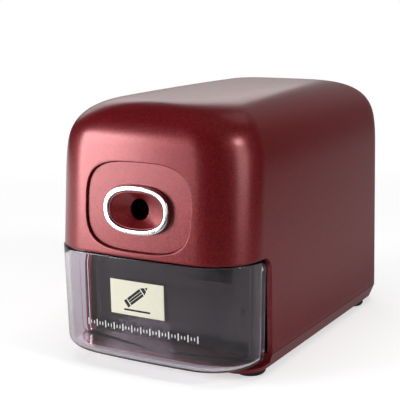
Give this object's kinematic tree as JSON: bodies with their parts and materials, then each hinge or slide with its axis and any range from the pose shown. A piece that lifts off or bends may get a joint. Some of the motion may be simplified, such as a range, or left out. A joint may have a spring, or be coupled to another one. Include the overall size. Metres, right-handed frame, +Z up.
{
  "type": "electric pencil sharpener",
  "caption": "Desktop electric pencil sharpener: rounded metallic red housing, oval chrome-ringed pencil hole and a clear smoky front drawer for shavings.",
  "frame": {"origin": "middle of the object's box, on the surface that its feet stand on", "axes": "+Z up, -Y towards the user (the side the pencil enters), +X to the right seen from the front"},
  "size_m": [0.1012, 0.1656, 0.1217],
  "materials": {
    "red_metallic": "satin metallic lacquer over moulded ABS",
    "chrome": "bright plated",
    "smoky_clear": "clear smoky moulded polystyrene, polished",
    "label_cream": "printed film, satin",
    "black_plastic": "fine moulded texture",
    "rubber": "matt",
    "steel": "zinc plated or turned",
    "tool_steel": "hardened, ground",
    "bronze": "sintered, oiled",
    "nylon_white": "moulded nylon with grease",
    "magnet_dark": "matt ferrite or carbon",
    "copper": "enamelled wire and bare bars",
    "coil_tape": "yellow film",
    "board_green": "solder mask",
    "capacitor_sleeve": "shrink sleeve"
  },
  "bodies": {
    "housing": {"housing_shell": "red_metallic", "base_tray": "red_metallic", "front_panel": "red_metallic", "bezel_ring": "chrome", "chassis": "black_plastic", "pencil_guide": "black_plastic", "motor_end_cap": "black_plastic", "start_switch": "black_plastic", "drawer_switch": "black_plastic", "mains_inlet": "black_plastic", "bridge_rectifier": "black_plastic", "foot_front_left": "rubber", "foot_front_right": "rubber", "foot_rear_left": "rubber", "foot_rear_right": "rubber", "case_screw_1": "steel", "case_screw_2": "steel", "case_screw_3": "steel", "case_screw_4": "steel", "plate_screw_1": "steel", "plate_screw_2": "steel", "plate_screw_3": "steel", "plate_screw_4": "steel", "motor_screw_1": "steel", "motor_screw_2": "steel", "idler_axle": "steel", "motor_plate": "steel", "motor_can": "steel", "lever_pin": "steel", "transformer_core": "steel", "inlet_pin_left": "steel", "inlet_pin_right": "steel", "ring_gear": "tool_steel", "front_bearing": "bronze", "rear_bearing": "bronze", "motor_front_bush": "bronze", "motor_rear_bush": "bronze", "magnet_left": "magnet_dark", "magnet_right": "magnet_dark", "brush_left": "magnet_dark", "brush_right": "magnet_dark", "transformer_coil": "coil_tape", "rectifier_board": "board_green", "capacitor": "capacitor_sleeve"},
    "drawer": {"drawer": "smoky_clear", "drawer_label": "label_cream"},
    "rotor": {"armature": "steel", "armature_winding": "copper", "commutator": "copper", "motor_pinion": "bronze"},
    "idler": {"idler_gear": "nylon_white"},
    "carrier": {"carrier": "steel", "cutter_axle": "steel", "drive_gear": "nylon_white"},
    "cutter": {"cutter": "tool_steel", "cutter_pinion": "steel"},
    "start_lever": {"start_lever": "steel"},
    "start_plunger": {"start_plunger": "black_plastic"},
    "drawer_plunger": {"drawer_plunger": "black_plastic"}
  },
  "joints": [
    {"name": "drawer_slide", "type": "slide", "parent": "housing", "child": "drawer", "axis": [0, -1, 0], "range_m": [0, 0.038]},
    {"name": "rotor_spin", "type": "hinge", "parent": "housing", "child": "rotor", "pos_m": [0, 0.01776, 0.03683], "axis": [0, 1, 0], "continuous": true},
    {"name": "idler_spin", "type": "hinge", "parent": "housing", "child": "idler", "pos_m": [0.018, -0.02224, 0.05016], "axis": [0, 1, 0], "continuous": true},
    {"name": "carrier_spin", "type": "hinge", "parent": "housing", "child": "carrier", "pos_m": [0, -0.04224, 0.0754], "axis": [0, 1, 0], "continuous": true},
    {"name": "cutter_spin", "type": "hinge", "parent": "carrier", "child": "cutter", "pos_m": [0, -0.06067, 0.0871], "axis": [0, 0.9799, -0.1994], "continuous": true},
    {"name": "start_lever_swing", "type": "hinge", "parent": "housing", "child": "start_lever", "pos_m": [0.01693, -0.07054, 0.0802], "axis": [0, 1, 0], "range_deg": [0, 8], "stiffness_Nm_per_rad": 0.01, "springref_deg": -2.86},
    {"name": "start_plunger_press", "type": "slide", "parent": "housing", "child": "start_plunger", "axis": [0, 0, -1], "range_m": [0, 0.0015]},
    {"name": "drawer_plunger_release", "type": "slide", "parent": "housing", "child": "drawer_plunger", "axis": [0, -1, 0], "range_m": [0, 0.0012]}
  ],
  "couplings": [
    {"joint": "idler_spin", "follows": "rotor_spin", "ratio": -0.27273},
    {"joint": "carrier_spin", "follows": "rotor_spin", "ratio": 0.079545},
    {"joint": "cutter_spin", "follows": "rotor_spin", "ratio": -0.28636},
    {"joint": "start_plunger_press", "follows": "start_lever_swing", "m_per_rad": 0.01},
    {"joint": "drawer_plunger_release", "follows": "drawer_slide", "ratio": 0.031579}
  ]
}
